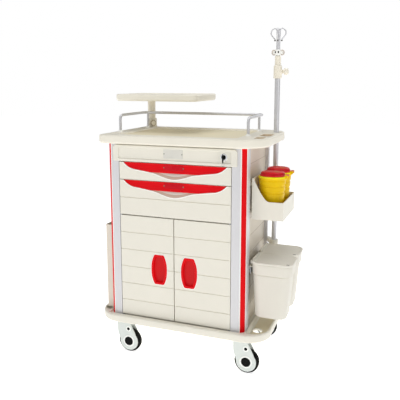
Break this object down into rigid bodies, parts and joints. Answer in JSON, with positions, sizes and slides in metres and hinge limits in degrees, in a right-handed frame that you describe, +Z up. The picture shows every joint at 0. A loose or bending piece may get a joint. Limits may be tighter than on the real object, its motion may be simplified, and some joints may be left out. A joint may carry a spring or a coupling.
{
  "type": "crash cart",
  "caption": "Hospital crash cart: cabinet with drawers, a double-door cupboard, rail, swivel shelf, drip pole, sharps and waste bins, on swivel casters.",
  "frame": {"origin": "on the floor, at the centre of the footprint box of the whole cart", "axes": "+Z up; -Y is the front with the drawers and doors; +X is the end with the push handle and bins"},
  "size_m": [0.833, 0.482, 1.3922],
  "materials": {
    "cream_abs": "satin moulded ABS",
    "shade_abs": "satin moulded ABS",
    "aluminium": "satin anodised extrusion",
    "red_strip": "gloss",
    "red_abs": "gloss",
    "red_lid": "gloss",
    "yellow_pp": "satin",
    "polished_steel": "polished",
    "plain_steel": "plated",
    "cream_knob": "satin",
    "grey_plastic": "satin",
    "black_rubber": "matte"
  },
  "bodies": {
    "cart": {"base_tray": "cream_abs", "column_front_left": "aluminium", "column_front_right": "aluminium", "column_rear_left": "aluminium", "column_rear_right": "aluminium", "strip_left": "red_strip", "strip_right": "red_strip", "side_panel_left": "shade_abs", "side_panel_right": "shade_abs", "back_panel": "shade_abs", "divider_panel": "shade_abs", "header_panel": "cream_abs", "fixed_runners": "plain_steel", "door_hinges": "plain_steel", "tabletop": "cream_abs", "guard_rail": "polished_steel", "rail_sockets": "cream_abs", "shelf_socket": "cream_abs", "pole_tube": "polished_steel", "pole_clamp": "cream_abs", "pole_bracket": "plain_steel", "sharps_tray": "cream_abs", "bin_hanger": "plain_steel", "side_box": "shade_abs", "caster_stems": "plain_steel"},
    "drawer_1": {"drawer_1_box": "shade_abs", "drawer_1_front": "cream_abs", "drawer_1_grip": "red_abs"},
    "drawer_2": {"drawer_2_box": "shade_abs", "drawer_2_front": "cream_abs", "drawer_2_grip": "red_abs"},
    "door_l": {"door_left": "cream_abs", "door_left_handle": "red_abs"},
    "door_r": {"door_right": "cream_abs", "door_right_handle": "red_abs"},
    "lock": {"lock_cylinder": "plain_steel", "key": "plain_steel"},
    "post": {"shelf_post": "cream_abs"},
    "shelf": {"top_shelf": "cream_abs"},
    "shelf_knob_b": {"shelf_knob": "cream_knob"},
    "drip_rod": {"pole_rod": "polished_steel", "bottle_collar": "cream_abs"},
    "pole_knob_b": {"pole_knob": "cream_knob"},
    "sharps_front": {"sharps_bin_front": "yellow_pp"},
    "sharps_front_cap": {"sharps_lid_front": "red_lid"},
    "sharps_rear": {"sharps_bin_rear": "yellow_pp"},
    "sharps_rear_cap": {"sharps_lid_rear": "red_lid"},
    "waste_front": {"waste_bin_front": "cream_abs"},
    "waste_front_cap": {"waste_lid_front": "cream_abs"},
    "waste_rear": {"waste_bin_rear": "cream_abs"},
    "waste_rear_cap": {"waste_lid_rear": "cream_abs"},
    "swivel_fl": {"caster_hood_fl": "grey_plastic"},
    "roller_fl": {"wheel_fl": "black_rubber"},
    "swivel_fr": {"caster_hood_fr": "grey_plastic"},
    "roller_fr": {"wheel_fr": "black_rubber"},
    "swivel_rl": {"caster_hood_rl": "grey_plastic"},
    "roller_rl": {"wheel_rl": "black_rubber"},
    "swivel_rr": {"caster_hood_rr": "grey_plastic"},
    "roller_rr": {"wheel_rr": "black_rubber"}
  },
  "joints": [
    {"name": "drawer_1_slide", "type": "slide", "parent": "cart", "child": "drawer_1", "axis": [0, -1, 0], "range_m": [0, 0.33]},
    {"name": "drawer_2_slide", "type": "slide", "parent": "cart", "child": "drawer_2", "axis": [0, -1, 0], "range_m": [0, 0.33]},
    {"name": "door_left_hinge", "type": "hinge", "parent": "cart", "child": "door_l", "pos_m": [-0.298, -0.212, 0.4], "axis": [0, 0, -1], "range_deg": [0, 110]},
    {"name": "door_right_hinge", "type": "hinge", "parent": "cart", "child": "door_r", "pos_m": [0.175, -0.212, 0.4], "axis": [0, 0, 1], "range_deg": [0, 110]},
    {"name": "lock_turn", "type": "hinge", "parent": "cart", "child": "lock", "pos_m": [0.1495, -0.215, 0.886], "axis": [0, 1, 0], "range_deg": [0, 90]},
    {"name": "post_lift", "type": "slide", "parent": "cart", "child": "post", "axis": [0, 0, 1], "range_m": [0, 0.04]},
    {"name": "shelf_swivel", "type": "hinge", "parent": "post", "child": "shelf", "pos_m": [-0.3465, 0.2, 1.09], "axis": [0, 0, 1], "continuous": true},
    {"name": "shelf_knob_turn", "type": "hinge", "parent": "cart", "child": "shelf_knob_b", "pos_m": [-0.3465, 0.2, 0.978], "axis": [0.5739, -0.8189, 0], "continuous": true},
    {"name": "rod_slide", "type": "slide", "parent": "cart", "child": "drip_rod", "axis": [0, 0, 1], "range_m": [0, 0.42]},
    {"name": "pole_knob_turn", "type": "hinge", "parent": "cart", "child": "pole_knob_b", "pos_m": [0.2795, 0.11, 1.212], "axis": [1, 0, 0], "continuous": true},
    {"name": "sharps_front_lift", "type": "slide", "parent": "cart", "child": "sharps_front", "axis": [0, 0, 1], "range_m": [0, 0.085]},
    {"name": "sharps_front_lid", "type": "hinge", "parent": "sharps_front", "child": "sharps_front_cap", "pos_m": [0.3705, -0.084, 0.807], "axis": [0, 1, 0], "range_deg": [0, 85]},
    {"name": "sharps_rear_lift", "type": "slide", "parent": "cart", "child": "sharps_rear", "axis": [0, 0, 1], "range_m": [0, 0.085]},
    {"name": "sharps_rear_lid", "type": "hinge", "parent": "sharps_rear", "child": "sharps_rear_cap", "pos_m": [0.3705, 0.024, 0.807], "axis": [0, 1, 0], "range_deg": [0, 85]},
    {"name": "waste_front_lift", "type": "slide", "parent": "cart", "child": "waste_front", "axis": [0, 0, 1], "range_m": [0, 0.012]},
    {"name": "waste_front_lid", "type": "hinge", "parent": "waste_front", "child": "waste_front_cap", "pos_m": [0.2465, -0.116, 0.466], "axis": [0, -1, 0], "range_deg": [0, 65]},
    {"name": "waste_rear_lift", "type": "slide", "parent": "cart", "child": "waste_rear", "axis": [0, 0, 1], "range_m": [0, 0.012]},
    {"name": "waste_rear_lid", "type": "hinge", "parent": "waste_rear", "child": "waste_rear_cap", "pos_m": [0.2465, 0.022, 0.466], "axis": [0, -1, 0], "range_deg": [0, 65]},
    {"name": "swivel_turn_fl", "type": "hinge", "parent": "cart", "child": "swivel_fl", "pos_m": [-0.3165, -0.173, 0.13], "axis": [0, 0, 1], "continuous": true},
    {"name": "wheel_roll_fl", "type": "hinge", "parent": "swivel_fl", "child": "roller_fl", "pos_m": [-0.2885, -0.173, 0.051], "axis": [0, 1, 0], "continuous": true},
    {"name": "swivel_turn_fr", "type": "hinge", "parent": "cart", "child": "swivel_fr", "pos_m": [0.2115, -0.173, 0.13], "axis": [0, 0, 1], "continuous": true},
    {"name": "wheel_roll_fr", "type": "hinge", "parent": "swivel_fr", "child": "roller_fr", "pos_m": [0.2395, -0.173, 0.051], "axis": [0, 1, 0], "continuous": true},
    {"name": "swivel_turn_rl", "type": "hinge", "parent": "cart", "child": "swivel_rl", "pos_m": [-0.3165, 0.171, 0.13], "axis": [0, 0, 1], "continuous": true},
    {"name": "wheel_roll_rl", "type": "hinge", "parent": "swivel_rl", "child": "roller_rl", "pos_m": [-0.2885, 0.171, 0.051], "axis": [0, 1, 0], "continuous": true},
    {"name": "swivel_turn_rr", "type": "hinge", "parent": "cart", "child": "swivel_rr", "pos_m": [0.2115, 0.171, 0.13], "axis": [0, 0, 1], "continuous": true},
    {"name": "wheel_roll_rr", "type": "hinge", "parent": "swivel_rr", "child": "roller_rr", "pos_m": [0.2395, 0.171, 0.051], "axis": [0, 1, 0], "continuous": true}
  ]
}
